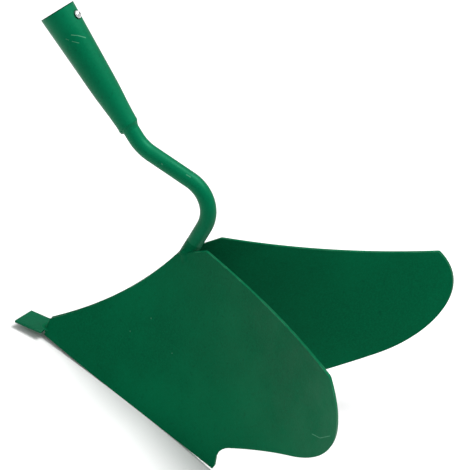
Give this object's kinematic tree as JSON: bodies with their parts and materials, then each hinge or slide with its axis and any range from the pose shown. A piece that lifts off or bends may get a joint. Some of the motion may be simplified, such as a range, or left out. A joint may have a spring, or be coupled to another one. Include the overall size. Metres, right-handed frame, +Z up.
{
  "type": "ridging hoe head",
  "caption": "Ridging hoe head: curved steel wings meet along a ridge above a flat share point, on a bent neck rod with a conical handle socket.",
  "frame": {"origin": "centre of the head's box in plan, on the ground that its cutting edges stand on", "axes": "+Z up with the cutting edges on the ground; +X to the rear, so that the nose, the share point and the socket's mouth are towards -X; +Y to the head's left wing; the plane Y = 0 is the plane of symmetry"},
  "size_m": [0.3782, 0.28, 0.3065],
  "materials": {
    "green_enamel": "satin dark green enamel over steel",
    "zinc_plate": "bright zinc plated"
  },
  "bodies": {
    "head": {"wing_right": "green_enamel", "wing_left": "green_enamel", "share_point": "green_enamel", "neck_rod": "green_enamel", "socket": "green_enamel", "socket_weld": "green_enamel", "ridge_weld": "green_enamel", "nose_weld": "green_enamel", "neck_weld_right": "green_enamel", "neck_weld_left": "green_enamel"},
    "screw": {"fixing_screw": "zinc_plate"}
  },
  "joints": [
    {"name": "screw_withdraw", "type": "slide", "parent": "head", "child": "screw", "axis": [0.6143, 0, 0.7891], "range_m": [0, 0.014]}
  ]
}
